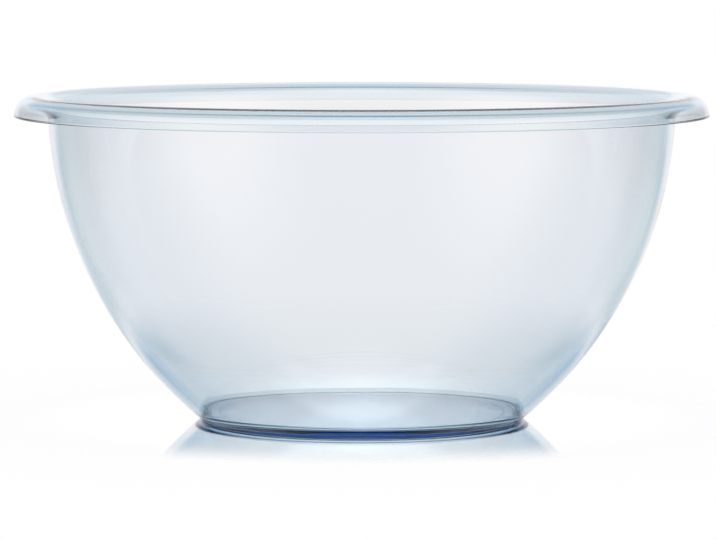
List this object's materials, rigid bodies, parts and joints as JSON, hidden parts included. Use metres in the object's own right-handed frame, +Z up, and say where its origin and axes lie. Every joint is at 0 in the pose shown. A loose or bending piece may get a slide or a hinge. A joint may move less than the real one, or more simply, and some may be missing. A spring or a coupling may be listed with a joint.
{
  "type": "salad bowl",
  "caption": "Round clear glass salad bowl with a curved wall, a low ring foot and a rim rolled outwards and down, open at the top to hold food.",
  "frame": {"origin": "centre of the foot, on the plane of the table that the bowl stands on", "axes": "+Z up along the bowl's axis of revolution; +X and +Y are any two level directions, because the bowl is round"},
  "size_m": [0.24, 0.24, 0.112],
  "materials": {
    "clear_glass": "polished, faint blue tint"
  },
  "bodies": {
    "root": {"foot_ring": "clear_glass", "base": "clear_glass", "wall": "clear_glass", "rim": "clear_glass"}
  },
  "joints": []
}
